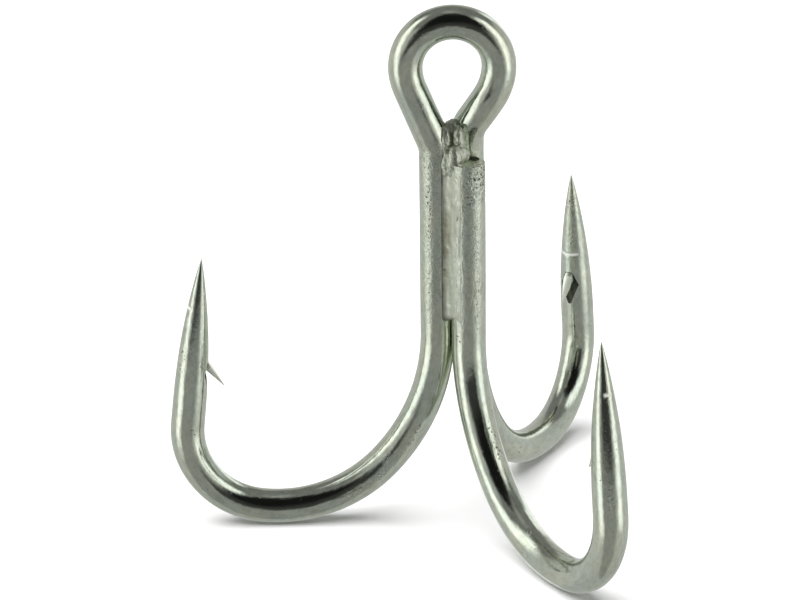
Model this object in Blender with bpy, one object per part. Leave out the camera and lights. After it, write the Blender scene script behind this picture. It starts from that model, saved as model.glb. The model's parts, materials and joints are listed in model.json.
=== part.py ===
"""Treble hook: a wire bent into a double hook with an eye, and a single hook brazed beside its shanks.

Metres, +Z up. The origin is the centre of the eye. The eye lies in the XZ plane, the shanks hang below it,
and the three hooks point to 180, 300 and 60 degrees, counted from +X about +Z.
"""

import math

import bmesh
import bpy
from mathutils import Matrix, Vector

# Wire and shanks
WIRE_DIAMETER = 0.0033
WIRE_RADIUS = WIRE_DIAMETER / 2
SHANK_OFFSET = 0.00195          # each shank's distance from the axis of the bundle
BUNDLE_X = 0.0004               # the bundle's axis stands this far to the right of the eye's centre
SHANK_TOP_Z = -0.0092           # the wires run straight down from here
SHANK_BOTTOM_Z = -0.0268        # and start to bend here
CUT_END_Z = -0.0089             # the plain cut end of the single hook

# Hook: three arcs of falling radius, then a straight point that leans in
BENDS = ((0.0198, 43.5), (0.0139, 53.5), (0.0080, 89.0))     # radius, degrees
POINT_LENGTHS = {"left": 0.0172, "front": 0.0167, "rear": 0.0172}     # ground by hand
TAPER_LENGTH = 0.0155           # the last stretch, ground to a needle
TAPER_POWER = 0.84              # below 1 gives the needle round shoulders
TIP_RADIUS_SHARE = 0.03
HOOK_DIRECTIONS = {"left": 180.0, "front": 300.0, "rear": 60.0}

# Barb: a sliver of wire, cut free at its lower end and lifted
BARB_FROM_TIP = 0.0103          # from the tip to the sliver's root
BARB_LENGTH = 0.0028
BARB_DEPTH = 0.0007             # how deep the cut goes at the root
BARB_LIFT = 34.0                # degrees
BARB_ROOT = 0.0006              # the sliver's stretch that stays inside the wire
BARB_TOOL_SIZE = (0.0036, 0.0020, 0.0040)     # cutting wedge: longer than the barb, as wide as its root
BARB_END_SHARE = 0.08           # the wedge's width at its far end, as a share of its width at the root
NOTCH_WIDENING = 1.2            # the notch's width, as a share of the sliver's

# Eye: a round top, two slacker sides and two legs that turn down into the shanks
EYE_RADIUS = 0.00438
EYE_TOP_TURN = 95.0
EYE_SIDE_RADIUS = 0.0060
LEG_LEAN = {"left": 22.5, "rear": 31.5}
LEG_BEND_RADIUS = 0.0041
LEG_SHIFT_START_Z = -0.0028     # the rear leg leaves the eye's plane below this

# Braze metal
BRAZE_GAP = 0.00006             # modelling clearance to the wires
BEAD_TOP_Z = -0.0092
BEAD_BOTTOM_Z = -0.0256
BEAD_REACH = 62.0               # degrees round each wire, from the line between two shanks
BEAD_INNER_HALF_WIDTH = 0.00008
BEAD_HOLLOW = 0.00012           # how far a bead's outer face sinks between the wires
THROAT_SIZE = (0.0018, 0.00155, 0.0019)
THROAT_CENTRE = (-0.0001, -0.0001, -0.0072)

# Mesh fineness
ARC_STEP = 9.0                  # degrees between two points of a bend
STRAIGHT_STEPS = 4              # points along an eye's leg, which shifts sideways as it runs down
WIRE_BEVEL_STEPS = 4            # twelve-sided wire
TAPER_POINTS = 9
TAPER_CROWDING = 1.5            # above 1 puts the taper's points closer together towards the tip
BEAD_ARC_POINTS = 5
THROAT_SEGMENTS = 16
THROAT_RINGS = 10
SHARP_ANGLE = 35.0              # degrees; flatter edges are shaded smooth
WELD_DISTANCE = 0.000001


def clear_scene():
    for item in list(bpy.data.objects):
        bpy.data.objects.remove(item, do_unlink=True)


def make_collection(name):
    collection = bpy.data.collections.new(name)
    bpy.context.scene.collection.children.link(collection)
    return collection


def make_material(name, colour, roughness):
    material = bpy.data.materials.new(name)
    material.use_nodes = True
    shader = material.node_tree.nodes["Principled BSDF"]
    shader.inputs["Base Color"].default_value = (*colour, 1.0)
    shader.inputs["Metallic"].default_value = 1.0
    shader.inputs["Roughness"].default_value = roughness
    return material


# Planar paths: a position, a heading in degrees, and moves that carry them on

def direction(heading):
    return Vector((math.cos(math.radians(heading)), math.sin(math.radians(heading))))


def run_straight(path, heading, length):
    start = path[-1]
    for step in range(1, STRAIGHT_STEPS + 1):
        path.append(start + length * step / STRAIGHT_STEPS * direction(heading))


def run_arc(path, heading, radius, turn):
    """Add an arc that turns left for a positive angle, and give the new heading."""
    side = math.copysign(1.0, turn)
    centre = path[-1] + side * radius * direction(heading + 90.0)
    steps = max(2, math.ceil(abs(turn) / ARC_STEP))
    for step in range(1, steps + 1):
        now = heading + turn * step / steps
        path.append(centre - side * radius * direction(now + 90.0))
    return heading + turn


def taper(distance_from_tip):
    """The ground point's thickness: round-shouldered, as a share of the wire's."""
    share = min(1.0, distance_from_tip / TAPER_LENGTH)
    return max(TIP_RADIUS_SHARE, math.sin(math.pi / 2 * share ** TAPER_POWER))


def hook_profile(point_length):
    """One hook in its own plane, from the bottom of the shank to the tip: (outward, up, thickness)."""
    path = [Vector((0.0, 0.0))]
    heading = -90.0
    for radius, turn in BENDS:
        heading = run_arc(path, heading, radius, turn)
    profile = [(place, 1.0) for place in path]
    start = path[-1]
    for step in range(TAPER_POINTS + 1):
        from_tip = TAPER_LENGTH * (1.0 - step / TAPER_POINTS) ** TAPER_CROWDING
        place = start + (point_length - from_tip) * direction(heading)
        profile.append((place, taper(from_tip)))
    return profile


def hook_points(name):
    """One hook in the part's frame, from the bottom of its shank to its tip."""
    outward = direction(HOOK_DIRECTIONS[name])
    points = []
    for place, thickness in hook_profile(POINT_LENGTHS[name]):
        reach = SHANK_OFFSET + place.x
        spot = Vector((BUNDLE_X + outward.x * reach, outward.y * reach, SHANK_BOTTOM_Z + place.y))
        points.append((spot, thickness))
    return points


def smooth(share):
    share = min(1.0, max(0.0, share))
    return share * share * (3.0 - 2.0 * share)


def eye_points(name):
    """Half of the eye, from its top down to the top of one shank."""
    outward = direction(HOOK_DIRECTIONS[name])
    shank = Vector((BUNDLE_X, 0.0)) + SHANK_OFFSET * outward
    side = -1.0 if name == "left" else 1.0
    lean = LEG_LEAN[name]
    path = [Vector((0.0, EYE_RADIUS))]
    heading = run_arc(path, 0.0, EYE_RADIUS, -EYE_TOP_TURN)
    heading = run_arc(path, heading, EYE_SIDE_RADIUS, -(90.0 + lean - EYE_TOP_TURN))
    last_turn = LEG_BEND_RADIUS * (1.0 - math.cos(math.radians(lean)))
    run = (path[-1].x - side * shank.x - last_turn) / math.sin(math.radians(lean))
    run_straight(path, heading, run)
    heading = run_arc(path, heading, LEG_BEND_RADIUS, lean)
    run_straight(path, heading, path[-1].y - SHANK_TOP_Z)
    points = []
    for place in path:
        share = smooth((place.y - LEG_SHIFT_START_Z) / (SHANK_TOP_Z - LEG_SHIFT_START_Z))
        points.append((Vector((side * place.x, shank.y * share, place.y)), 1.0))
    return points


# Solids

def wire_curve(name, points, radius, collection):
    curve = bpy.data.curves.new(name, "CURVE")
    curve.dimensions = "3D"
    curve.bevel_depth = radius
    curve.bevel_resolution = WIRE_BEVEL_STEPS
    curve.use_fill_caps = True
    spline = curve.splines.new("POLY")
    spline.points.add(len(points) - 1)
    for point, (place, thickness) in zip(spline.points, points):
        point.co = (*place, 1.0)
        point.radius = thickness
    wire = bpy.data.objects.new(name, curve)
    collection.objects.link(wire)
    return wire


def to_mesh(shape):
    """Replace a curve object by a mesh object whose end caps are welded to its side."""
    name = shape.name
    bpy.context.view_layer.update()
    evaluated = shape.evaluated_get(bpy.context.evaluated_depsgraph_get())
    mesh = bpy.data.meshes.new_from_object(evaluated)
    welded = bmesh.new()
    welded.from_mesh(mesh)
    bmesh.ops.remove_doubles(welded, verts=welded.verts, dist=WELD_DISTANCE)
    welded.to_mesh(mesh)
    welded.free()
    solid = bpy.data.objects.new(name, mesh)
    solid.matrix_world = shape.matrix_world.copy()
    shape.users_collection[0].objects.link(solid)
    bpy.data.objects.remove(shape, do_unlink=True)
    solid.name = name
    return solid


def combine(solid, tool, operation):
    """Apply one boolean at once, so that the result can be moved or cut again."""
    modifier = solid.modifiers.new(operation.lower(), "BOOLEAN")
    modifier.operation = operation
    modifier.solver = "EXACT"
    modifier.object = tool
    bpy.context.view_layer.update()
    evaluated = solid.evaluated_get(bpy.context.evaluated_depsgraph_get())
    mesh = bpy.data.meshes.new_from_object(evaluated)
    solid.modifiers.clear()
    solid.data = mesh


def hide_cutter(cutter):
    cutter.hide_render = True
    cutter.display_type = "WIRE"


def make_wedge(name, widening, placement, collection):
    """The barb's cutting wedge: its broad end sits at the placement's origin and it narrows along X."""
    length, width, height = BARB_TOOL_SIZE
    wedge = bmesh.new()
    bmesh.ops.create_cube(wedge, size=1.0)
    bmesh.ops.translate(wedge, verts=wedge.verts, vec=(0.5, 0.0, 0.5))
    bmesh.ops.scale(wedge, verts=wedge.verts, vec=(length, width * widening, height))
    for vert in wedge.verts:
        if vert.co.x > 0.5 * length:
            vert.co.y *= BARB_END_SHARE
    bmesh.ops.transform(wedge, verts=wedge.verts, matrix=placement)
    mesh = bpy.data.meshes.new(name)
    wedge.to_mesh(mesh)
    wedge.free()
    cutter = bpy.data.objects.new(name, mesh)
    collection.objects.link(cutter)
    hide_cutter(cutter)
    return cutter


def barb_frame(points):
    """The barb's root on the wire's inner side: X runs down the point, Z out of the wire, Y across."""
    tip = points[-1][0]
    before = points[-2][0]
    along = (before - tip).normalized()
    bend = points[len(points) // 2][0]
    shank = points[0][0]
    across = along.cross(shank - bend).normalized()
    out = along.cross(across).normalized()
    if out.dot(shank - tip) < 0.0:
        out = -out
        across = -across
    root = tip + BARB_FROM_TIP * along + WIRE_RADIUS * taper(BARB_FROM_TIP) * out
    frame = Matrix((along, out.cross(along), out)).transposed().to_4x4()
    frame.translation = root
    return frame


def cut_barb(wire, points, cutters):
    """Slice a sliver free on the inner side of the point, lift it about its root and join it again."""
    frame = barb_frame(points)
    slope = Matrix.Rotation(-math.atan2(BARB_DEPTH, BARB_LENGTH), 4, "Y")
    floor = frame @ Matrix.Translation((0.0, 0.0, -BARB_DEPTH)) @ slope
    notch = make_wedge(wire.name + "_notch_cutter", NOTCH_WIDENING, floor, cutters)
    behind = floor @ Matrix.Translation((-BARB_ROOT, 0.0, 0.0))
    slab = make_wedge(wire.name + "_barb_cutter", 1.0, behind, cutters)
    sliver = bpy.data.objects.new(wire.name + "_barb", wire.data.copy())
    cutters.objects.link(sliver)
    sliver.matrix_world = wire.matrix_world.copy()
    combine(sliver, slab, "INTERSECT")
    lift = frame @ Matrix.Rotation(-math.radians(BARB_LIFT), 4, "Y") @ frame.inverted()
    sliver.data.transform(sliver.matrix_world.inverted() @ lift @ sliver.matrix_world)
    hide_cutter(sliver)
    combine(wire, notch, "DIFFERENCE")
    combine(wire, sliver, "UNION")


def single_hook_points():
    hook = hook_points("front")
    cut_end = hook[0][0].copy()
    cut_end.z = CUT_END_Z
    return [(cut_end, 1.0)] + hook


def make_double_hook(parts, cutters):
    left_hook = hook_points("left")
    rear_hook = hook_points("rear")
    points = left_hook[::-1] + eye_points("left")[::-1] + eye_points("rear")[1:] + rear_hook
    wire = to_mesh(wire_curve("double_hook", points, WIRE_RADIUS, parts))
    cut_barb(wire, left_hook, cutters)
    cut_barb(wire, rear_hook, cutters)
    return wire


def make_single_hook(parts, cutters):
    wire = to_mesh(wire_curve("single_hook", single_hook_points(), WIRE_RADIUS, parts))
    cut_barb(wire, hook_points("front"), cutters)
    return wire


def bead_outline():
    """A bead's section in the groove that faces +X: two arcs that follow the wires and an outer face."""
    radius = WIRE_RADIUS + BRAZE_GAP
    half_spacing = SHANK_OFFSET * math.sin(math.radians(60.0))
    line_x = SHANK_OFFSET * math.cos(math.radians(60.0))
    inner = math.degrees(math.acos((half_spacing - BEAD_INNER_HALF_WIDTH) / radius))
    side = []
    for step in range(BEAD_ARC_POINTS + 1):
        angle = math.radians(inner + (BEAD_REACH - inner) * step / BEAD_ARC_POINTS)
        side.append((line_x + radius * math.sin(angle), half_spacing - radius * math.cos(angle)))
    middle = (side[-1][0] - BEAD_HOLLOW, 0.0)
    mirrored = [(x, -y) for x, y in side]
    return mirrored + [middle] + side[::-1]


def core_outline():
    """The section of the core: the space that three offset wires leave in their middle."""
    radius = WIRE_RADIUS + BRAZE_GAP
    half_spacing = SHANK_OFFSET * math.sin(math.radians(60.0))
    line_x = SHANK_OFFSET * math.cos(math.radians(60.0))
    corner = math.acos(min(1.0, (half_spacing - BEAD_INNER_HALF_WIDTH) / radius))
    corner_x = line_x - radius * math.sin(corner)
    outline = []
    for turn in (0.0, 120.0, 240.0):
        spin = Matrix.Rotation(math.radians(turn), 2)
        outline.append(spin @ Vector((corner_x, -BEAD_INNER_HALF_WIDTH)))
        outline.append(spin @ Vector((corner_x, BEAD_INNER_HALF_WIDTH)))
        outline.append(Matrix.Rotation(math.radians(turn + 60.0), 2) @ Vector((SHANK_OFFSET - radius, 0.0)))
    return [tuple(point) for point in outline]


def extrude_outline(name, outline, height, collection):
    """A flat outline given its height about z = 0."""
    curve = bpy.data.curves.new(name, "CURVE")
    curve.dimensions = "2D"
    curve.fill_mode = "BOTH"
    curve.extrude = height / 2
    spline = curve.splines.new("POLY")
    spline.points.add(len(outline) - 1)
    for point, (x, y) in zip(spline.points, outline):
        point.co = (x, y, 0.0, 1.0)
    spline.use_cyclic_u = True
    prism = bpy.data.objects.new(name, curve)
    collection.objects.link(prism)
    return prism


def make_braze(parts, cutters):
    height = BEAD_TOP_Z - BEAD_BOTTOM_Z
    middle_z = (BEAD_TOP_Z + BEAD_BOTTOM_Z) / 2
    pieces = []
    for name, heading in (("front", 240.0), ("right", 0.0), ("rear", 120.0)):
        bead = extrude_outline("braze_bead_" + name, bead_outline(), height, parts)
        bead.location = (BUNDLE_X, 0.0, middle_z)
        bead.rotation_euler = (0.0, 0.0, math.radians(heading))
        pieces.append(bead)
    core = extrude_outline("braze_core", core_outline(), height, parts)
    core.location = (BUNDLE_X, 0.0, middle_z)
    pieces.append(core)
    pieces.append(make_throat(parts, cutters))
    return pieces


def make_throat(parts, cutters):
    """The lump of braze between the eye's legs, cut clear of each leg and of the cut end."""
    legs = {
        "left_clearance": eye_points("left") + hook_points("left"),
        "rear_clearance": eye_points("rear") + hook_points("rear"),
        "front_clearance": single_hook_points(),
    }
    lump = bmesh.new()
    bmesh.ops.create_uvsphere(lump, u_segments=THROAT_SEGMENTS, v_segments=THROAT_RINGS, radius=1.0)
    bmesh.ops.scale(lump, verts=lump.verts, vec=THROAT_SIZE)
    mesh = bpy.data.meshes.new("braze_throat")
    lump.to_mesh(mesh)
    lump.free()
    throat = bpy.data.objects.new("braze_throat", mesh)
    throat.location = THROAT_CENTRE
    parts.objects.link(throat)
    bpy.context.view_layer.update()
    for name, points in legs.items():
        cutter = to_mesh(wire_curve(name, points, WIRE_RADIUS + BRAZE_GAP, cutters))
        hide_cutter(cutter)
        combine(throat, cutter, "DIFFERENCE")
    return throat


def finish(solids, material):
    for solid in solids:
        solid.data.materials.clear()
        solid.data.materials.append(material)
        if solid.type == "MESH":
            solid.data.shade_smooth()
            solid.data.set_sharp_from_angle(angle=math.radians(SHARP_ANGLE))


def main():
    clear_scene()
    parts = make_collection("treble_hook")
    cutters = make_collection("treble_hook_cutters")
    double = make_double_hook(parts, cutters)
    single = make_single_hook(parts, cutters)
    braze = make_braze(parts, cutters)
    finish([double], make_material("double_hook_plating", (0.66, 0.69, 0.64), 0.16))
    finish([single], make_material("single_hook_plating", (0.66, 0.69, 0.64), 0.16))
    finish(braze, make_material("plated_braze", (0.56, 0.58, 0.53), 0.38))
    base = bpy.data.objects.new("treble_hook", None)
    parts.objects.link(base)
    for solid in [double, single] + braze:
        solid.parent = base


main()
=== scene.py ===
"""Looks of the treble hook: fine plated wires with barbs and tool marks, braze, and a plain studio.

Everything is in metres in the row's frame: the origin is the eye's centre and the shanks hang down from it.
"""

import json
import math

import bmesh
import bpy
from mathutils import Matrix, Vector, noise
from mathutils.kdtree import KDTree

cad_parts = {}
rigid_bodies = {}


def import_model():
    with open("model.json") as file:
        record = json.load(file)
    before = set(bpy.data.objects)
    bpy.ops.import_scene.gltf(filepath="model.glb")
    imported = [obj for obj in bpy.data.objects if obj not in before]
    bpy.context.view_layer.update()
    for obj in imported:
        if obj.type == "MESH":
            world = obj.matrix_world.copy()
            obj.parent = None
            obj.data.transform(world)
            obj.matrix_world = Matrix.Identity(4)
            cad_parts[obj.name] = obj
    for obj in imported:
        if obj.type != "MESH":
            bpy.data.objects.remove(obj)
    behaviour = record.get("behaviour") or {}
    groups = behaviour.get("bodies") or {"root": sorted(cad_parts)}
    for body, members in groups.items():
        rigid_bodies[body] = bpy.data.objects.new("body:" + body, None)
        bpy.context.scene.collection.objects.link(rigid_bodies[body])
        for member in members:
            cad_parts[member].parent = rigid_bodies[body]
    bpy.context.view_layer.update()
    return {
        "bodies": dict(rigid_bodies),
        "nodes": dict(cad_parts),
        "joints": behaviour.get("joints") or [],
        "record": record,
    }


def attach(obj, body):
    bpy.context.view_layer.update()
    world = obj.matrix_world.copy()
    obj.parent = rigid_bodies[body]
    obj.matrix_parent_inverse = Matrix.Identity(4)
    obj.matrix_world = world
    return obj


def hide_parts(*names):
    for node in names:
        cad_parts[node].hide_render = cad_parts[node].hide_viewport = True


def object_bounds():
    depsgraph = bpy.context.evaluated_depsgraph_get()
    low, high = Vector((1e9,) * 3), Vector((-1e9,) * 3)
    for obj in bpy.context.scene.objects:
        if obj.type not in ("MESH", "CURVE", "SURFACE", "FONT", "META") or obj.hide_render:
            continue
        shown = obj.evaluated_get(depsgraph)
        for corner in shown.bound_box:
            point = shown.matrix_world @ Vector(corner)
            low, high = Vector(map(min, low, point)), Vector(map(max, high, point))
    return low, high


MM = 0.001

# The wires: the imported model's driving dimensions, with finer tips and barbs
WIRE_RADIUS = 1.65 * MM
SHANK_OFFSET = 1.95 * MM
BUNDLE_X = 0.4 * MM
SHANK_TOP_Z = -9.2 * MM
SHANK_BOTTOM_Z = -26.8 * MM
CUT_END_Z = -8.9 * MM
BENDS = ((19.8 * MM, 43.5), (13.9 * MM, 53.5), (8.0 * MM, 89.0))
POINT_LENGTHS = {"left": 17.2 * MM, "front": 16.7 * MM, "rear": 17.2 * MM}
TAPER_LENGTH = 15.5 * MM
TAPER_POWER = 0.84
TIP_RADIUS_SHARE = 0.02
HOOK_DIRECTIONS = {"left": 180.0, "front": 300.0, "rear": 60.0}
BARB_FROM_TIP = 10.5 * MM
BARB_LENGTH = 2.8 * MM
BARB_DEPTH = 0.7 * MM
BARB_LIFT = 34.0
BARB_ROOT = 0.6 * MM
BARB_TOOL_SIZE = (3.6 * MM, 2.0 * MM, 4.0 * MM)
# The barb tool's outline down the point: shares of its length and width
BARB_OUTLINE = ((0.0, 0.4), (0.35, 1.0), (1.0, 0.08))
NOTCH_WIDTH_SHARE = 0.95
SLIVER_WIDTH_SHARE = 0.5
CUT_SHARE = 0.08  # of the wire's radius: a surface this far out of the wire, or into it, is surely cut
EYE_RADIUS = 4.38 * MM
EYE_TOP_TURN = 95.0
EYE_SIDE_RADIUS = 6.0 * MM
LEG_LEAN = {"left": 22.5, "rear": 31.5}
LEG_BEND_RADIUS = 4.1 * MM
LEG_SHIFT_START_Z = -2.8 * MM

# Mesh fineness, and the angles above which an edge stays sharp
RING_SIDES = 64
ARC_STEP = 1.0
STRAIGHT_STEP = 0.25 * MM
SHANK_STEP = 0.12 * MM
POINT_STEP = 0.1 * MM
WIRE_SHARP_ANGLE = 30.0
WEB_SHARP_ANGLE = 60.0

# Tool marks: shallow grooves across the ground points (hook, from tip, middle and half width round the
# wire). Angles round a wire are in degrees and start on its inner side, which faces the gape.
TOOL_MARKS = (
    ("left", 5.0 * MM, 160.0, 40.0),
    ("rear", 8.4 * MM, -2.0, 62.0),
    ("front", 4.9 * MM, 165.0, 28.0),
)
TOOL_MARK_DEPTH = 0.06 * MM
TOOL_MARK_WIDTH = 0.15 * MM
TOOL_MARK_REACH = 3.0  # widths away from its middle, past which a mark has no depth

# Scuffs and pitted spots (hook, from tip, half length, middle and half width round the wire, strength)
SCUFFS = (
    ("left", 48.8 * MM, 3.0 * MM, -4.0, 26.0, 0.9),
    ("left", 43.8 * MM, 0.8 * MM, 72.0, 16.0, 0.9),
    ("left", 41.6 * MM, 1.6 * MM, 100.0, 14.0, 0.8),
    ("left", 38.6 * MM, 2.6 * MM, 94.0, 9.0, 0.7),
    ("left", 47.6 * MM, 3.0 * MM, 104.0, 10.0, 0.6),
    ("left", 10.2 * MM, 1.9 * MM, 142.0, 24.0, 0.8),
    ("left", 6.4 * MM, 1.3 * MM, 152.0, 12.0, 0.4),
    ("left", 70.8 * MM, 5.5 * MM, 60.0, 20.0, 0.7),
    ("left", 75.6 * MM, 1.2 * MM, 52.0, 26.0, 0.8),
    ("front", 74.2 * MM, 3.2 * MM, -14.0, 60.0, 1.0),
    ("front", 65.0 * MM, 9.0 * MM, 2.0, 14.0, 0.4),
    ("front", 45.8 * MM, 3.2 * MM, -14.0, 20.0, 0.8),
    ("front", 35.3 * MM, 0.5 * MM, 20.0, 12.0, 1.0),
    ("front", 34.2 * MM, 1.4 * MM, 88.0, 8.0, 0.6),
    ("front", 14.5 * MM, 2.2 * MM, 150.0, 12.0, 0.4),
    ("rear", 39.1 * MM, 1.0 * MM, 102.0, 14.0, 1.0),
    ("rear", 3.0 * MM, 0.8 * MM, 0.0, 90.0, 0.6),
    ("rear", 6.6 * MM, 1.0 * MM, 10.0, 30.0, 0.5),
)

# Satin wear, from 0 to 1: on the shanks, where the braze wetted them, and on each hook's ground point
SHANK_WEAR = 0.8
SHANK_WEAR_TOP_Z = -6.0 * MM
SHANK_WEAR_BOTTOM_Z = -27.0 * MM
SHANK_WEAR_FADE = 3.0 * MM
POINT_WEAR = {"left": 0.15, "front": 0.1, "rear": 0.75}
POINT_WEAR_LENGTH = 12.0 * MM
POINT_WEAR_FADE = 0.4  # of that length

# Uneven wire: slow swell along it, and the rough, pitted patch below the single hook's cut end
SWELL = 0.012
SWELL_LENGTH = 6.0 * MM
ROUGH_TOP_Z = -8.9 * MM
ROUGH_BOTTOM_Z = -13.6 * MM
ROUGH_FADE = 0.4  # of the patch's height, up from its bottom
ROUGH_DEPTH = 0.16 * MM
ROUGH_GRAIN = 0.36 * MM

# Braze: webs in the three grooves, and the lumps in the eye's throat
WEB_TOP_Z = -8.6 * MM
WEB_BOTTOM_Z = -25.3 * MM
WEB_ARCH = 0.55 * MM
WEB_STEP = 0.12 * MM
WEB_POINTS = 30
WEB_NOISE = 0.022 * MM
WEB_FLOW_SIZE = 0.5 * MM
WEB_GRAIN_SIZE = 0.25 * MM
WEB_INNER_X = 0.3 * MM
WEB_TOP_ROUND = 1.5 * MM
WEB_BOTTOM_ROUND = 0.7 * MM
# Share of a web's width over which the painted shade at its seam with the first wire fades out
WEB_SEAM_SHADE = 0.42
# The webs in degrees: the groove's heading, how far round its two wires the web reaches, and the dips
# with which it leaves them
WEBS = {
    "front": {"heading": 240.0, "reach": (47.0, 92.0), "dips": (14.0, -2.0)},
    "right": {"heading": 0.0, "reach": (58.0, 58.0), "dips": (22.0, 22.0)},
    "rear": {"heading": 120.0, "reach": (58.0, 58.0), "dips": (22.0, 22.0)},
}
# Lumps in the throat (centre and half sizes, in millimetres)
THROAT_LUMPS = (
    ((0.00, 0.05, -7.50), (1.30, 1.05, 1.75)),
    ((-0.74, -0.84, -7.15), (0.56, 0.78, 1.55)),
    ((0.52, -0.86, -6.85), (0.56, 0.78, 1.30)),
    ((0.00, 0.20, -6.35), (0.85, 0.95, 1.10)),
    ((-0.10, 0.60, -7.60), (1.25, 0.95, 1.60)),
    ((0.45, -1.10, -8.30), (1.00, 0.95, 1.00)),
    ((0.10, -1.75, -9.10), (0.80, 0.85, 1.90)),
    ((-0.40, -1.58, -10.60), (0.46, 0.42, 2.60)),
    ((-0.66, -1.50, -9.20), (0.50, 0.60, 1.40)),
    ((0.72, -0.55, -8.60), (0.95, 1.25, 0.80)),
)
LUMP_VOXEL = 0.06 * MM
LUMP_NOISE = 0.09 * MM
LUMP_GRAIN = 0.5 * MM
LUMP_SMOOTHING = 16

# Brown flux stains (web, height, half length, middle and half width in shares of its width, strength)
FLUX_STAINS = (
    ("front", -16.2 * MM, 3.4 * MM, 0.20, 0.42, 0.8),
    ("front", -20.6 * MM, 2.6 * MM, 0.18, 0.30, 0.5),
    ("rear", -12.4 * MM, 1.6 * MM, 0.55, 0.25, 0.7),
    ("right", -20.5 * MM, 1.4 * MM, 0.45, 0.25, 0.6),
)

# Metal colours
STEEL_COOL = (0.69, 0.76, 0.66, 1.0)
STEEL_WARM = (0.76, 0.80, 0.65, 1.0)
STEEL_STAIN = (0.46, 0.50, 0.40, 1.0)
STEEL_LINE = (0.48, 0.53, 0.46, 1.0)
# Near white: painted highlights on the tool marks and barbs, and bright nicks in the scuffs
BRIGHT_NICK_AND_HIGHLIGHT_COLOUR = (0.88, 0.90, 0.82, 1.0)
# Near black: real pits and scrapes, and painted shade in the barbs' notches and the webs' seams
PIT_AND_SHADE_COLOUR = (0.04, 0.045, 0.03, 1.0)
BRAZE_LIGHT = (0.80, 0.84, 0.72, 1.0)
BRAZE_DULL = (0.56, 0.60, 0.49, 1.0)
BRAZE_STAIN = (0.36, 0.34, 0.23, 1.0)

# Noise patterns of the steel (stretch in the wire's directions, scale per millimetre, detail, roughness)
STEEL_PATTERNS = {
    "lines": ((7.0, 7.0, 0.16), 1.0, 4.0, 0.6),
    "waves": ((1.0, 1.0, 0.45), 1.1, 2.0, 0.5),
    "mottle": ((1.0, 1.0, 0.55), 3.6, 4.0, 0.65),
    "grain": ((1.0, 1.0, 1.0), 8.0, 3.0, 0.65),
    "tint": ((1.0, 1.0, 0.4), 0.5, 3.0, 0.6),
    "stain": ((1.0, 1.0, 0.5), 0.9, 4.0, 0.65),
    "tarnish": ((1.0, 1.0, 0.5), 2.2, 5.0, 0.7),
    "patch": ((1.0, 1.0, 1.0), 0.33, 2.0, 0.5),
    # Breaks up the painted shade in the notches beside the barbs
    "notch_shade": ((1.0, 1.0, 0.4), 3.0, 3.0, 0.6),
    "nicks": ((1.0, 1.0, 1.0), 6.0, 2.0, 0.5),
}
# Dots on the steel: pits in patches, and scrapes in the scuffs (scale per millimetre)
PIT_SCALE = 2.6
SCRAPE_SCALE = 3.8
# Bump depths in millimetres
STEEL_RELIEF = {"waves": 0.032, "lines": 0.0045, "mottle": 0.055, "grain": 0.012, "marks": 0.03}

# Noise patterns of the braze (stretch along X, Y and Z, scale per millimetre, detail, roughness)
BRAZE_PATTERNS = {
    "flow": ((1.0, 1.0, 0.12), 2.2, 3.0, 0.55),
    "mottle": ((1.0, 1.0, 1.0), 1.3, 4.0, 0.6),
    "grain": ((1.0, 1.0, 1.0), 6.5, 3.0, 0.6),
    "pits": ((1.0, 1.0, 1.0), 2.6, 3.0, 0.7),
    "stain": ((1.0, 1.0, 0.4), 0.42, 3.0, 0.6),
}
# Bump depths in millimetres
BRAZE_RELIEF = {"flow": 0.07, "mottle": 0.06, "grain": 0.012, "pits": 0.04}

# Camera: the direction and distance from which it looks at its target, its roll and its lens
CAMERA_AZIMUTH = -1.25
CAMERA_ELEVATION = 22.12
CAMERA_ROLL = -0.65
CAMERA_DISTANCE = 395.4 * MM
CAMERA_LENS = 186.2
CAMERA_TARGET = (-5.12 * MM, 0.11 * MM, -23.47 * MM)

# Surroundings that the metal mirrors, with angles in degrees: middle azimuth (0 in front, 90 to the right),
# half width and its soft edge, lowest and highest elevation and their soft edge, brightness, and lean to the
# left as it rises
SURROUNDINGS = (
    (-6.0, 33.0, 20.0, -90.0, -8.0, 10.0, 0.30, 0.0),
    (0.0, 180.0, 1.0, 40.0, 74.0, 14.0, 0.20, 0.0),
    (-2.0, 24.0, 22.0, -4.0, 70.0, 11.0, 0.045, 0.0),
    (2.0, 34.0, 16.0, 24.0, 58.0, 20.0, 0.010, 0.0),
    (-76.0, 6.0, 19.0, -16.0, 44.0, 22.0, 1.45, 0.45),
    (65.0, 6.0, 18.0, -14.0, 42.0, 20.0, 1.35, 0.0),
    (152.0, 3.0, 12.0, -10.0, 30.0, 14.0, 1.20, 0.35),
    (-160.0, 4.0, 12.0, -38.0, -30.0, 9.0, 1.0, 0.0),
)

# The rest of the room: its brightness low down and overhead, and the share of it that is left towards the
# floor, each between two elevations
FAR_LIGHT = (0.57, 0.35)
FAR_LIGHT_SPAN = (-20.0, 75.0)
FLOOR_DIMMING = 0.78
FLOOR_DIMMING_SPAN = (-75.0, -15.0)

# Overhead lamp (watts, metres) and floor
LAMP_POWER = 60.0
LAMP_SIZE = 2.4
LAMP_PLACE = (-0.5, -0.2, 1.6)
FLOOR_SIZE = 6.0
FLOOR_COLOUR = (0.9, 0.9, 0.9, 1.0)
FLOOR_ROUGHNESS = 0.9


# Planar paths: a position, a heading in degrees, and moves that carry them on

def direction(heading):
    return Vector((math.cos(math.radians(heading)), math.sin(math.radians(heading))))


def run_straight(path, heading, length, longest_step):
    start = path[-1]
    steps = max(1, math.ceil(length / longest_step))
    for step in range(1, steps + 1):
        path.append(start + length * step / steps * direction(heading))


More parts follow.
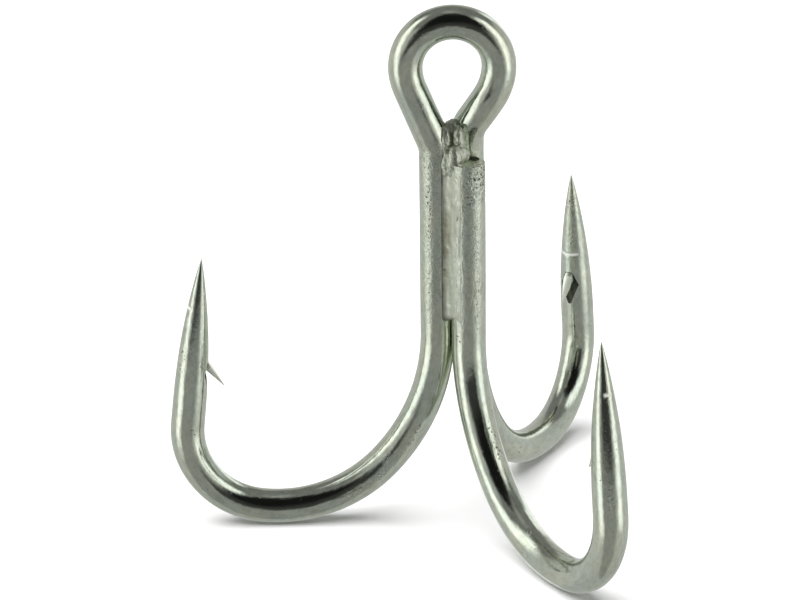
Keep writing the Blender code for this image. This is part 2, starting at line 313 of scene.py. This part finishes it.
def run_arc(path, heading, radius, turn):
    side = math.copysign(1.0, turn)
    centre = path[-1] + side * radius * direction(heading + 90.0)
    steps = max(2, math.ceil(abs(turn) / ARC_STEP))
    for step in range(1, steps + 1):
        now = heading + turn * step / steps
        path.append(centre - side * radius * direction(now + 90.0))
    return heading + turn


def smooth(share):
    share = min(1.0, max(0.0, share))
    return share * share * (3.0 - 2.0 * share)


def taper(from_tip):
    share = min(1.0, from_tip / TAPER_LENGTH)
    return max(TIP_RADIUS_SHARE, math.sin(math.pi / 2 * share ** TAPER_POWER))


def make_object(name, shell):
    """A new object in the scene from a bmesh, which is freed."""
    mesh = bpy.data.meshes.new(name)
    shell.to_mesh(mesh)
    shell.free()
    made = bpy.data.objects.new(name, mesh)
    bpy.context.scene.collection.objects.link(made)
    return made


class Station:
    """One cross-section of a wire: its centre, the directions along it, to its inner side and across, its
    hook, and its distances along the wire from the hook's tip and from the wire's start."""

    def __init__(self, place, side, name):
        self.place = Vector(place)
        self.side = Vector(side)
        self.name = name
        self.from_tip = 0.0


def measure(stations):
    """Give each station its distance along the wire from the hook's tip, which is the last one."""
    run = 0.0
    for station, following in zip(stations[-2::-1], stations[::-1]):
        run += (station.place - following.place).length
        station.from_tip = run
    return stations


def set_frames(stations):
    """Give each station three directions, square to each other, and its distance from the wire's start."""
    run = 0.0
    for index, station in enumerate(stations):
        before = stations[max(0, index - 1)].place
        after = stations[min(len(stations) - 1, index + 1)].place
        run += (station.place - before).length
        station.run = run
        station.along = (after - before).normalized()
        station.inner = station.side.cross(station.along).normalized()
        station.side = station.along.cross(station.inner)
    return stations


def hook_stations(name):
    """One hook from the bottom of its shank to its tip."""
    path = [Vector((0.0, 0.0))]
    heading = -90.0
    for radius, turn in BENDS:
        heading = run_arc(path, heading, radius, turn)
    run_straight(path, heading, POINT_LENGTHS[name], POINT_STEP)
    outward = direction(HOOK_DIRECTIONS[name])
    side = (outward.y, -outward.x, 0.0)
    stations = []
    for spot in path:
        reach = SHANK_OFFSET + spot.x
        place = (BUNDLE_X + outward.x * reach, outward.y * reach, SHANK_BOTTOM_Z + spot.y)
        stations.append(Station(place, side, name))
    return measure(stations)


def shank_stations(name, top_z, top_side):
    """The straight shank from its top down, without its last point. Its side turns to the hook's side."""
    outward = direction(HOOK_DIRECTIONS[name])
    hook_side = Vector((outward.y, -outward.x, 0.0))
    turn = top_side.xy.angle_signed(hook_side.xy)
    steps = math.ceil((top_z - SHANK_BOTTOM_Z) / SHANK_STEP)
    stations = []
    for step in range(steps):
        share = step / steps
        side = Matrix.Rotation(-turn * smooth(share), 3, "Z") @ top_side
        z = top_z + (SHANK_BOTTOM_Z - top_z) * share
        place = (BUNDLE_X + SHANK_OFFSET * outward.x, SHANK_OFFSET * outward.y, z)
        stations.append(Station(place, side, name))
    return stations


def eye_stations(name):
    """Half of the eye, from its top down to just above the shank."""
    outward = direction(HOOK_DIRECTIONS[name])
    shank = Vector((BUNDLE_X, 0.0)) + SHANK_OFFSET * outward
    mirror = -1.0 if name == "left" else 1.0
    lean = LEG_LEAN[name]
    path = [Vector((0.0, EYE_RADIUS))]
    heading = run_arc(path, 0.0, EYE_RADIUS, -EYE_TOP_TURN)
    heading = run_arc(path, heading, EYE_SIDE_RADIUS, -(90.0 + lean - EYE_TOP_TURN))
    last_turn = LEG_BEND_RADIUS * (1.0 - math.cos(math.radians(lean)))
    run = (path[-1].x - mirror * shank.x - last_turn) / math.sin(math.radians(lean))
    run_straight(path, heading, run, STRAIGHT_STEP)
    heading = run_arc(path, heading, LEG_BEND_RADIUS, lean)
    run_straight(path, heading, path[-1].y - SHANK_TOP_Z, STRAIGHT_STEP)
    stations = []
    for spot in path[:-1]:
        share = smooth((spot.y - LEG_SHIFT_START_Z) / (SHANK_TOP_Z - LEG_SHIFT_START_Z))
        place = (mirror * spot.x, shank.y * share, spot.y)
        stations.append(Station(place, (0.0, -mirror, 0.0), name))
    return stations


def reverse(stations):
    """The same stations walked the other way: the side direction flips with the direction of travel."""
    turned = stations[::-1]
    for station in turned:
        station.side = -station.side
    return turned


def double_hook_stations():
    halves = {}
    for name, mirror in (("left", -1.0), ("rear", 1.0)):
        shank = shank_stations(name, SHANK_TOP_Z, Vector((0.0, -mirror, 0.0)))
        halves[name] = measure(eye_stations(name) + shank + hook_stations(name))
    return reverse(halves["left"]) + halves["rear"][1:]


def single_hook_stations():
    outward = direction(HOOK_DIRECTIONS["front"])
    side = Vector((outward.y, -outward.x, 0.0))
    return measure(shank_stations("front", CUT_END_Z, side) + hook_stations("front"))


# Wires

def angle_between(first, second):
    return abs((first - second + 180.0) % 360.0 - 180.0)


def mark_depth(station, angle):
    """How deep the tool marks cut at one point of the wire."""
    depth = 0.0
    for name, from_tip, middle, half_width in TOOL_MARKS:
        away = (station.from_tip - from_tip) / TOOL_MARK_WIDTH
        if name == station.name and abs(away) < TOOL_MARK_REACH:
            share = smooth(2.0 * (1.0 - angle_between(angle, middle) / half_width))
            depth += TOOL_MARK_DEPTH * math.exp(-away * away) * share
    return depth


def scuff_at(station, angle):
    """How scuffed the wire is at one point, from 0 to 1."""
    scuff = 0.0
    for name, from_tip, half_length, middle, half_width, strength in SCUFFS:
        if name == station.name and abs(station.from_tip - from_tip) < half_length:
            along = (station.from_tip - from_tip) / half_length
            around = angle_between(angle, middle) / half_width
            scuff = max(scuff, strength * smooth(1.6 * (1.0 - math.hypot(along, around))))
    return scuff


def wear_at(station):
    """How satin the wire is at one station, from 0 to 1. The points stand as high as the shanks' lower ends,
    so a shank is told by its distance from the tip as well."""
    z = station.place.z
    inside = min(SHANK_WEAR_TOP_Z - z, z - SHANK_WEAR_BOTTOM_Z)
    shank = SHANK_WEAR * smooth(inside / SHANK_WEAR_FADE) if station.from_tip > 2.0 * TAPER_LENGTH else 0.0
    ground = smooth((1.0 - station.from_tip / POINT_WEAR_LENGTH) / POINT_WEAR_FADE)
    return max(shank, POINT_WEAR[station.name] * ground)


def rough_depth(station, out):
    """How far the pitted patch near the single hook's cut end sinks into the wire."""
    z = station.place.z
    if station.name != "front" or z < ROUGH_BOTTOM_Z:
        return 0.0
    share = smooth((z - ROUGH_BOTTOM_Z) / (ROUGH_TOP_Z - ROUGH_BOTTOM_Z) / ROUGH_FADE)
    outer_side = smooth(0.9 + out.x)
    spot = station.place + WIRE_RADIUS * out
    grain = noise.fractal(spot / ROUGH_GRAIN, 0.8, 2.2, 4)
    return ROUGH_DEPTH * share * outer_side * abs(grain)


def wire_radius(station):
    swell = 1.0 + SWELL * (noise.noise(station.place / SWELL_LENGTH) - 0.5)
    return WIRE_RADIUS * taper(station.from_tip) * swell


def sweep(name, stations):
    """A closed tube through the stations, with the tool marks and the rough patch cut into it."""
    shell = bmesh.new()
    rings = []
    for station in stations:
        radius = wire_radius(station)
        ring = []
        for corner in range(RING_SIDES):
            angle = 2.0 * math.pi * corner / RING_SIDES
            out = math.cos(angle) * station.inner + math.sin(angle) * station.side
            depth = mark_depth(station, math.degrees(angle)) + rough_depth(station, out)
            ring.append(shell.verts.new(station.place + (radius - depth) * out))
        rings.append(ring)
    for ring, following in zip(rings, rings[1:]):
        for corner in range(RING_SIDES):
            after = (corner + 1) % RING_SIDES
            shell.faces.new((ring[corner], ring[after], following[after], following[corner]))
    shell.faces.new(rings[0][::-1])
    shell.faces.new(rings[-1])
    bmesh.ops.recalc_face_normals(shell, faces=shell.faces)
    return make_object(name, shell)


def cut_share(spot, station):
    """How far a spot near a barb stands out of the round wire, or below 0 into it. At 1 or -1 it is surely
    cut, and away from the barbs it is 0."""
    if abs(station.from_tip - BARB_FROM_TIP - 0.5 * BARB_LENGTH) > BARB_LENGTH:
        return 0.0
    offset = spot - station.place
    across = math.hypot(offset.dot(station.inner), offset.dot(station.side))
    return (across / wire_radius(station) - 1.0) / CUT_SHARE


def paint(wire, stations):
    """Note what the material needs. On each point, wire_place is its place in the wire's own directions, in
    millimetres, and the others are shares: satin wear, scuffs, tool marks and barbs, where the material
    paints highlights. On each face, notch is 1 inside the cut beside a barb, where the material paints
    shade."""
    tree = KDTree(len(stations))
    for index, station in enumerate(stations):
        tree.insert(station.place, index)
    tree.balance()
    places = []
    shares = {"wear": [], "scuff": [], "mark": [], "barb": []}
    for vert in wire.data.vertices:
        station = stations[tree.find(vert.co)[1]]
        offset = vert.co - station.place
        across = Vector((offset.dot(station.inner), offset.dot(station.side)))
        angle = math.degrees(math.atan2(across.y, across.x))
        places.extend(part / MM for part in (across.x, across.y, station.run + offset.dot(station.along)))
        shares["wear"].append(wear_at(station))
        shares["scuff"].append(scuff_at(station, angle))
        shares["mark"].append(mark_depth(station, angle) / TOOL_MARK_DEPTH)
        shares["barb"].append(smooth(cut_share(vert.co, station) - 0.5))
    wire.data.attributes.new("wire_place", "FLOAT_VECTOR", "POINT").data.foreach_set("vector", places)
    for name, values in shares.items():
        wire.data.attributes.new(name, "FLOAT", "POINT").data.foreach_set("value", values)
    # Faces inside the notch, which the material darkens as painted shade
    notch = []
    for face in wire.data.polygons:
        station = stations[tree.find(face.center)[1]]
        notch.append(smooth(-2.0 * cut_share(face.center, station) - 0.3))
    wire.data.attributes.new("notch", "FLOAT", "FACE").data.foreach_set("value", notch)


def apply_modifiers(piece):
    bpy.context.view_layer.update()
    evaluated = piece.evaluated_get(bpy.context.evaluated_depsgraph_get())
    mesh = bpy.data.meshes.new_from_object(evaluated)
    piece.modifiers.clear()
    piece.data = mesh


def combine(piece, tool, operation):
    modifier = piece.modifiers.new(operation.lower(), "BOOLEAN")
    modifier.operation = operation
    modifier.solver = "EXACT"
    modifier.object = tool
    apply_modifiers(piece)


def make_wedge(width_share, placement):
    """The barb's cutting tool: a lens-shaped prism that runs along X from the placement's origin."""
    length, width, height = BARB_TOOL_SIZE
    outline = [(share * length, 0.5 * width * width_share * part) for share, part in BARB_OUTLINE]
    outline += [(x, -y) for x, y in outline[::-1]]
    wedge = bmesh.new()
    lower, upper = ([wedge.verts.new((x, y, z)) for x, y in outline] for z in (0.0, height))
    for corner in range(len(outline)):
        after = (corner + 1) % len(outline)
        wedge.faces.new((lower[corner], lower[after], upper[after], upper[corner]))
    wedge.faces.new(lower[::-1])
    wedge.faces.new(upper)
    bmesh.ops.recalc_face_normals(wedge, faces=wedge.faces)
    bmesh.ops.transform(wedge, verts=wedge.verts, matrix=placement)
    return make_object("cutter", wedge)


def point_frame(hook, from_tip):
    """On the inner side of a hook's point: X runs down the point, Z out of the wire, Y across."""
    tip = hook[-1].place
    along = (hook[-2].place - tip).normalized()
    out = hook[-1].side.cross(-along).normalized()
    frame = Matrix((along, out.cross(along), out)).transposed().to_4x4()
    frame.translation = tip + from_tip * along + WIRE_RADIUS * taper(from_tip) * out
    return frame


def cut_barb(wire, hook):
    """Slice a sliver free on the inner side of the point, lift it about its root and join it again."""
    frame = point_frame(hook, BARB_FROM_TIP)
    slope = Matrix.Rotation(-math.atan2(BARB_DEPTH, BARB_LENGTH), 4, "Y")
    floor = frame @ Matrix.Translation((0.0, 0.0, -BARB_DEPTH)) @ slope
    notch = make_wedge(NOTCH_WIDTH_SHARE, floor)
    slab = make_wedge(SLIVER_WIDTH_SHARE, floor @ Matrix.Translation((-BARB_ROOT, 0.0, 0.0)))
    sliver = bpy.data.objects.new("sliver", wire.data.copy())
    bpy.context.scene.collection.objects.link(sliver)
    combine(sliver, slab, "INTERSECT")
    lift = frame @ Matrix.Rotation(-math.radians(BARB_LIFT), 4, "Y") @ frame.inverted()
    sliver.data.transform(lift)
    combine(wire, notch, "DIFFERENCE")
    combine(wire, sliver, "UNION")
    for tool in (notch, slab, sliver):
        bpy.data.objects.remove(tool, do_unlink=True)


def finish_piece(piece, material, slot, *nodes):
    piece.data.materials.clear()
    piece.data.materials.append(material)
    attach(piece, "root")
    if nodes:
        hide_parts(*nodes)


def make_wire(name, stations, *barbed_hooks):
    set_frames(stations)
    wire = sweep(name, stations)
    for hook in barbed_hooks:
        cut_barb(wire, hook_stations(hook))
    paint(wire, stations)
    wire.data.shade_smooth()
    wire.data.set_sharp_from_angle(angle=math.radians(WIRE_SHARP_ANGLE))
    return wire


# Braze

def web_section(reach, dips):
    """The outer line of a web in the groove that faces +X, from the wire at -Y to the wire at +Y. It is a
    curve that leaves each wire at its dip, in degrees, below the tangent plane that both wires share."""
    half_spacing = SHANK_OFFSET * math.sin(math.radians(60.0))
    line_x = SHANK_OFFSET * math.cos(math.radians(60.0))
    first, last = (math.radians(angle) for angle in reach)
    start = Vector((line_x + WIRE_RADIUS * math.sin(first), -half_spacing + WIRE_RADIUS * math.cos(first)))
    end = Vector((line_x + WIRE_RADIUS * math.sin(last), half_spacing - WIRE_RADIUS * math.cos(last)))
    chord = (end - start).length
    leave = chord * direction(90.0 + dips[0])
    arrive = chord * direction(90.0 - dips[1])
    section = []
    for step in range(WEB_POINTS + 1):
        t = step / WEB_POINTS
        u = 1.0 - t
        spot = u * u * (1.0 + 2.0 * t) * start + t * t * (3.0 - 2.0 * t) * end
        spot += t * u * (u * leave - t * arrive)
        way = 6.0 * t * u * (end - start) + u * (u - 2.0 * t) * leave + t * (t - 2.0 * u) * arrive
        section.append((spot, Vector((way.y, -way.x)).normalized()))
    return section


def flux_at(groove, z, share):
    """How stained one point of a web is, from 0 to 1."""
    flux = 0.0
    for name, middle_z, half_length, middle, half_width, strength in FLUX_STAINS:
        if name == groove:
            away = math.hypot((z - middle_z) / half_length, (share - middle) / half_width)
            flux = max(flux, strength * smooth(1.4 * (1.0 - away)))
    return flux


def end_sink(from_end, rounding):
    """How far a web's surface sinks at one distance from its rounded end."""
    share = min(1.0, from_end / rounding)
    return 0.5 * rounding * (1.0 - math.sqrt(share * (2.0 - share)))


def make_web(groove, heading, reach, dips):
    """Braze in one groove: a curved strip of uneven metal between two wires, closed towards the bundle's
    axis. The seam shade attribute holds painted shade, darkest where the web meets the first wire, and the
    flux attribute the brown stains."""
    turn = Matrix.Rotation(math.radians(heading), 3, "Z")
    middle = Vector((BUNDLE_X, 0.0, 0.0))
    section = web_section(reach, dips)
    height = WEB_TOP_Z - WEB_BOTTOM_Z
    steps = math.ceil(height / WEB_STEP)
    shell = bmesh.new()
    seam_layer = shell.verts.layers.float.new("seam_shade")
    flux_layer = shell.verts.layers.float.new("flux")
    rows = []
    for row in range(steps + 1):
        down = row / steps
        from_top = down * height
        sink = max(end_sink(from_top, WEB_TOP_ROUND), end_sink(height - from_top, WEB_BOTTOM_ROUND))
        verts = []
        for column, (spot, out) in enumerate(section):
            share = column / WEB_POINTS
            arch = WEB_ARCH * math.sin(math.pi * share)
            z = WEB_TOP_Z + (WEB_BOTTOM_Z + arch - WEB_TOP_Z) * down
            seed = Vector((spot.x, spot.y + heading * MM, 0.4 * z))
            flow = noise.noise(seed / WEB_FLOW_SIZE)
            fine = noise.noise(Vector((seed.x, seed.y, z)) / WEB_GRAIN_SIZE)
            free = smooth(4.0 * min(share, 1.0 - share))
            lift = WEB_NOISE * free * (1.5 * flow + 0.6 * fine) - sink
            vert = shell.verts.new(middle + turn @ Vector((*(spot + lift * out), z)))
            # Painted shade: darkest at the first wire, fading out across the web
            vert[seam_layer] = smooth(1.0 - share / WEB_SEAM_SHADE)
            vert[flux_layer] = flux_at(groove, z, share)
            verts.append(vert)
        inside = Vector((WEB_INNER_X, 0.0, z - 0.4 * WEB_ARCH))
        verts.append(shell.verts.new(middle + turn @ inside))
        rows.append(verts)
    for upper, lower in zip(rows, rows[1:]):
        for column in range(len(upper)):
            after = (column + 1) % len(upper)
            shell.faces.new((upper[column], lower[column], lower[after], upper[after]))
    shell.faces.new(rows[0])
    shell.faces.new(rows[-1][::-1])
    bmesh.ops.recalc_face_normals(shell, faces=shell.faces)
    web = make_object("braze_web_" + groove, shell)
    web.data.shade_smooth()
    web.data.set_sharp_from_angle(angle=math.radians(WEB_SHARP_ANGLE))
    return web


def make_throat():
    """The lumps of braze between the eye's legs, run together and roughened."""
    lumps = bmesh.new()
    for place, size in THROAT_LUMPS:
        made = bmesh.ops.create_icosphere(lumps, subdivisions=3, radius=1.0)
        bmesh.ops.scale(lumps, verts=made["verts"], vec=[MM * part for part in size])
        bmesh.ops.translate(lumps, verts=made["verts"], vec=[MM * part for part in place])
    throat = make_object("braze_throat_lumps", lumps)
    remesh = throat.modifiers.new("run_together", "REMESH")
    remesh.mode = "VOXEL"
    remesh.voxel_size = LUMP_VOXEL
    soften = throat.modifiers.new("soften", "SMOOTH")
    soften.iterations = LUMP_SMOOTHING
    apply_modifiers(throat)
    for vert in throat.data.vertices:
        grain = noise.fractal(vert.co / LUMP_GRAIN, 1.0, 2.1, 4)
        vert.co += LUMP_NOISE * grain * vert.normal
    throat.data.shade_smooth()
    return throat


def make_braze(frame):
    material = braze_material("braze")
    for groove, shape in WEBS.items():
        web = make_web(groove, **shape)
        finish_piece(web, material, "plated_braze", "braze_bead_" + groove)
    finish_piece(make_throat(), material, "plated_braze", "braze_throat")
    core = frame["nodes"]["braze_core"]
    core.data.materials.clear()
    core.data.materials.append(material)


# Materials

class Nodes:
    """Small helper that adds nodes to one tree and links them."""

    def __init__(self, tree):
        self.tree = tree

    def add(self, kind, **settings):
        node = self.tree.nodes.new(kind)
        for name, value in settings.items():
            setattr(node, name, value)
        return node

    def link(self, source, target):
        if hasattr(source, "is_output"):
            self.tree.links.new(source, target)
        else:
            target.default_value = source

    def math(self, operation, first, second=0.0):
        node = self.add("ShaderNodeMath", operation=operation)
        self.link(first, node.inputs[0])
        self.link(second, node.inputs[1])
        return node.outputs[0]

    def times(self, first, second):
        return self.math("MULTIPLY", first, second)

    def greater(self, first, second):
        return self.math("MAXIMUM", first, second)

    def ramp(self, value, low, high, to_low=0.0, to_high=1.0):
        """The value from low to high, eased onto to_low to to_high."""
        node = self.add("ShaderNodeMapRange", interpolation_type="SMOOTHSTEP")
        for name, part in (("From Min", low), ("From Max", high), ("To Min", to_low), ("To Max", to_high)):
            self.link(part, node.inputs[name])
        self.link(value, node.inputs["Value"])
        return node.outputs["Result"]

    def attribute(self, name, output="Fac"):
        return self.add("ShaderNodeAttribute", attribute_name=name).outputs[output]

    def noise(self, vector, scale, detail=3.0, roughness=0.5):
        node = self.add("ShaderNodeTexNoise")
        self.link(vector, node.inputs["Vector"])
        node.inputs["Scale"].default_value = scale
        node.inputs["Detail"].default_value = detail
        node.inputs["Roughness"].default_value = roughness
        return node.outputs["Fac"]

    def stretched(self, vector, stretch):
        node = self.add("ShaderNodeVectorMath", operation="MULTIPLY")
        self.link(vector, node.inputs[0])
        node.inputs[1].default_value = stretch
        return node.outputs[0]

    def patterns(self, table, vector, unit=1.0):
        """All the noise patterns of a table, by name. The unit is a millimetre in the vector's measure."""
        made = {}
        for name, (stretch, scale, detail, roughness) in table.items():
            made[name] = self.noise(self.stretched(vector, stretch), scale / unit, detail, roughness)
        return made

    def dots(self, vector, scale, low, high):
        """Small round spots of uneven size, scattered over the surface."""
        node = self.add("ShaderNodeTexVoronoi")
        self.link(vector, node.inputs["Vector"])
        node.inputs["Scale"].default_value = scale
        size = self.times(self.noise(vector, 0.4 * scale), 0.6)
        return self.ramp(self.math("ADD", node.outputs["Distance"], size), low, high, 1.0, 0.0)

    def mix_colour(self, share, first, second):
        node = self.add("ShaderNodeMix", data_type="RGBA")
        self.link(share, node.inputs["Factor"])
        self.link(first, node.inputs[6])
        self.link(second, node.inputs[7])
        return node.outputs[2]

    def relief(self, heights, depths):
        """The surface's normal, with each named height as a bump of its own depth in millimetres."""
        normal = None
        for name, height in heights.items():
            node = self.add("ShaderNodeBump")
            node.inputs["Strength"].default_value = 1.0
            node.inputs["Distance"].default_value = depths[name] * MM
            self.link(height, node.inputs["Height"])
            if normal is not None:
                self.link(normal, node.inputs["Normal"])
            normal = node.outputs["Normal"]
        return normal


def principled(name):
    """A new material, its node helper and its shader."""
    material = bpy.data.materials.new(name)
    material.use_nodes = True
    return material, Nodes(material.node_tree), material.node_tree.nodes["Principled BSDF"]


def steel_material(name):
    """Bright plated wire: fine drawing lines along it, slightly wavy plating, satin wear, stains, pits,
    painted highlights on the tool marks and barbs, and painted shade in the barbs' notches.
    """
    material, nodes, shader = principled(name)
    along = nodes.attribute("wire_place", "Vector")
    wear = nodes.attribute("wear")
    scuff = nodes.attribute("scuff")
    pattern = nodes.patterns(STEEL_PATTERNS, along)
    lines = pattern["lines"]

    # Dark marks: pits in patches and dots in the scuffs, and painted shade in the notches beside the barbs
    pits = nodes.times(nodes.ramp(pattern["patch"], 0.50, 0.62), nodes.dots(along, PIT_SCALE, 0.36, 0.44))
    scrape = nodes.dots(nodes.stretched(along, (1.0, 1.0, 0.7)), SCRAPE_SCALE, 0.50, 0.66)
    notch_shade = nodes.times(nodes.attribute("notch"), nodes.ramp(pattern["notch_shade"], 0.40, 0.62, 1.0, 0.93))
    marks = nodes.greater(nodes.greater(nodes.times(pits, 0.8), nodes.times(scrape, scuff)), notch_shade)

    # Bright: painted highlights on the tool marks and the lifted barbs, and small bright nicks in the scuffs
    nicks = nodes.times(scuff, nodes.ramp(pattern["nicks"], 0.56, 0.66))
    tool_mark_highlight = nodes.times(nodes.attribute("mark"), 0.9)
    bright = nodes.greater(tool_mark_highlight, nodes.times(nodes.attribute("barb"), 0.35))
    bright = nodes.greater(bright, nodes.times(nicks, 0.55))

    tarnish = nodes.times(nodes.ramp(pattern["tarnish"], 0.38, 0.66), 0.42)
    stain = nodes.times(nodes.ramp(pattern["stain"], 0.50, 0.70), 0.45)
    colour = nodes.mix_colour(nodes.ramp(pattern["tint"], 0.35, 0.65), STEEL_COOL, STEEL_WARM)
    colour = nodes.mix_colour(tarnish, colour, STEEL_STAIN)
    colour = nodes.mix_colour(stain, colour, STEEL_STAIN)
    colour = nodes.mix_colour(nodes.times(lines, 0.2), colour, STEEL_LINE)
    colour = nodes.mix_colour(marks, colour, PIT_AND_SHADE_COLOUR)
    colour = nodes.mix_colour(bright, colour, BRIGHT_NICK_AND_HIGHLIGHT_COLOUR)
    nodes.link(colour, shader.inputs["Base Color"])
    # The painted highlights and the nicks are made less metallic
    nodes.link(nodes.math("SUBTRACT", 1.0, nodes.times(bright, 0.8)), shader.inputs["Metallic"])

    rough = nodes.math("ADD", nodes.ramp(lines, 0.3, 0.75, 0.07, 0.16), nodes.times(wear, 0.12))
    rough = nodes.math("ADD", rough, nodes.times(nodes.greater(marks, bright), 0.3))
    nodes.link(rough, shader.inputs["Roughness"])

    satin = nodes.math("ADD", wear, nodes.times(scuff, 0.7))
    heights = {
        "waves": pattern["waves"],
        "lines": lines,
        "mottle": nodes.times(pattern["mottle"], nodes.math("ADD", satin, 0.16)),
        "grain": nodes.times(pattern["grain"], nodes.math("ADD", satin, 0.12)),
        "marks": nodes.times(marks, -1.0),
    }
    nodes.link(nodes.relief(heights, STEEL_RELIEF), shader.inputs["Normal"])
    return material


def braze_material(name):
    """Plated braze: satin, mottled, finely pitted, with flow lines down the shank and brown flux stains, and
    painted shade along the webs' seams.
    """
    material, nodes, shader = principled(name)
    shader.inputs["Metallic"].default_value = 1.0
    place = nodes.add("ShaderNodeTexCoord").outputs["Object"]
    pattern = nodes.patterns(BRAZE_PATTERNS, place, MM)
    mottle = pattern["mottle"]
    pits = nodes.ramp(pattern["pits"], 0.66, 0.72)
    flux = nodes.times(nodes.attribute("flux"), nodes.ramp(mottle, 0.35, 0.6, 0.5, 1.0))
    colour = nodes.mix_colour(mottle, BRAZE_LIGHT, BRAZE_DULL)
    colour = nodes.mix_colour(nodes.ramp(pattern["flow"], 0.45, 0.65, 0.0, 0.6), colour, BRAZE_DULL)
    stain = nodes.times(nodes.ramp(pattern["stain"], 0.56, 0.68), 0.5)
    colour = nodes.mix_colour(stain, colour, BRAZE_STAIN)
    colour = nodes.mix_colour(nodes.times(pits, 0.7), colour, PIT_AND_SHADE_COLOUR)
    colour = nodes.mix_colour(flux, colour, BRAZE_STAIN)
    # Painted shade along the web's seam with the first wire, in the near-black colour
    colour = nodes.mix_colour(nodes.times(nodes.attribute("seam_shade"), 0.65), colour, PIT_AND_SHADE_COLOUR)
    nodes.link(colour, shader.inputs["Base Color"])
    nodes.link(nodes.ramp(mottle, 0.3, 0.7, 0.40, 0.56), shader.inputs["Roughness"])
    heights = {
        "flow": pattern["flow"],
        "mottle": mottle,
        "grain": pattern["grain"],
        "pits": nodes.times(pits, -1.0),
    }
    nodes.link(nodes.relief(heights, BRAZE_RELIEF), shader.inputs["Normal"])
    return material


# Studio

def window(nodes, azimuth, elevation, middle, half_width, side_edge, low, high, end_edge):
    """1 inside a window of the surroundings, fading to 0 over its edges' widths, all in degrees."""
    away = nodes.math("ABSOLUTE", nodes.math("SUBTRACT", azimuth, middle))
    across = nodes.ramp(away, half_width, half_width + side_edge, 1.0, 0.0)
    above = nodes.ramp(elevation, low - end_edge, low)
    below = nodes.ramp(elevation, high, high + end_edge, 1.0, 0.0)
    return nodes.times(across, nodes.times(above, below))


def make_surroundings():
    """A grey room round a table: dim in front and overhead, with light panels at the sides and behind."""
    world = bpy.data.worlds.new("studio")
    bpy.context.scene.world = world
    world.use_nodes = True
    nodes = Nodes(world.node_tree)
    background = world.node_tree.nodes["Background"]
    way = nodes.add("ShaderNodeTexCoord").outputs["Generated"]
    parts = nodes.add("ShaderNodeSeparateXYZ")
    nodes.link(way, parts.inputs[0])
    front = nodes.times(parts.outputs["Y"], -1.0)
    azimuth = nodes.math("DEGREES", nodes.math("ARCTAN2", parts.outputs["X"], front))
    elevation = nodes.math("DEGREES", nodes.math("ARCSINE", parts.outputs["Z"]))
    light = nodes.ramp(elevation, *FAR_LIGHT_SPAN, *FAR_LIGHT)
    light = nodes.times(light, nodes.ramp(elevation, *FLOOR_DIMMING_SPAN, FLOOR_DIMMING, 1.0))
    for *edges, level, lean in SURROUNDINGS:
        turned = nodes.math("ADD", azimuth, nodes.times(elevation, lean))
        mask = window(nodes, turned, elevation, *edges)
        mixed = nodes.add("ShaderNodeMix", data_type="FLOAT")
        nodes.link(mask, mixed.inputs[0])
        nodes.link(light, mixed.inputs[2])
        mixed.inputs[3].default_value = level
        light = mixed.outputs[0]
    nodes.link(light, background.inputs["Strength"])
    background.inputs["Color"].default_value = (1.0, 1.0, 1.0, 1.0)


def make_key_light():
    """A wide soft lamp overhead that whitens the table and leaves a faint shadow. It isn't mirrored."""
    lamp = bpy.data.lights.new("overhead", "AREA")
    lamp.shape = "DISK"
    lamp.size = LAMP_SIZE
    lamp.energy = LAMP_POWER
    light = bpy.data.objects.new("overhead", lamp)
    light.location = LAMP_PLACE
    light.rotation_euler = Vector(light.location).to_track_quat("Z", "Y").to_euler()
    light.visible_glossy = False
    bpy.context.scene.collection.objects.link(light)


def make_floor():
    bpy.ops.mesh.primitive_plane_add(size=FLOOR_SIZE)
    floor = bpy.context.object
    floor.name = "floor"
    floor.location.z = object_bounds()[0].z
    material, _, shader = principled("floor_white")
    shader.inputs["Base Color"].default_value = FLOOR_COLOUR
    shader.inputs["Roughness"].default_value = FLOOR_ROUGHNESS
    floor.data.materials.append(material)
    floor.visible_glossy = False


def make_camera():
    camera = bpy.data.objects.new("camera", bpy.data.cameras.new("camera"))
    bpy.context.scene.collection.objects.link(camera)
    camera.data.lens = CAMERA_LENS
    camera.data.clip_start = 0.01
    turn = Matrix.Rotation(math.radians(CAMERA_AZIMUTH), 4, "Z")
    tilt = Matrix.Rotation(math.radians(90.0 - CAMERA_ELEVATION), 4, "X")
    roll = Matrix.Rotation(math.radians(CAMERA_ROLL), 4, "Z")
    back = Matrix.Translation((0.0, 0.0, CAMERA_DISTANCE))
    camera.matrix_world = Matrix.Translation(CAMERA_TARGET) @ turn @ tilt @ back @ roll
    bpy.context.scene.camera = camera


def main():
    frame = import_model()
    double = make_wire("double_hook_wire", double_hook_stations(), "left", "rear")
    single = make_wire("single_hook_wire", single_hook_stations(), "front")
    finish_piece(double, steel_material("double_hook_steel"), "double_hook_plating", "double_hook")
    finish_piece(single, steel_material("single_hook_steel"), "single_hook_plating", "single_hook")
    make_braze(frame)
    make_floor()
    make_surroundings()
    make_key_light()
    make_camera()
    bpy.context.scene.view_settings.view_transform = "Standard"


main()
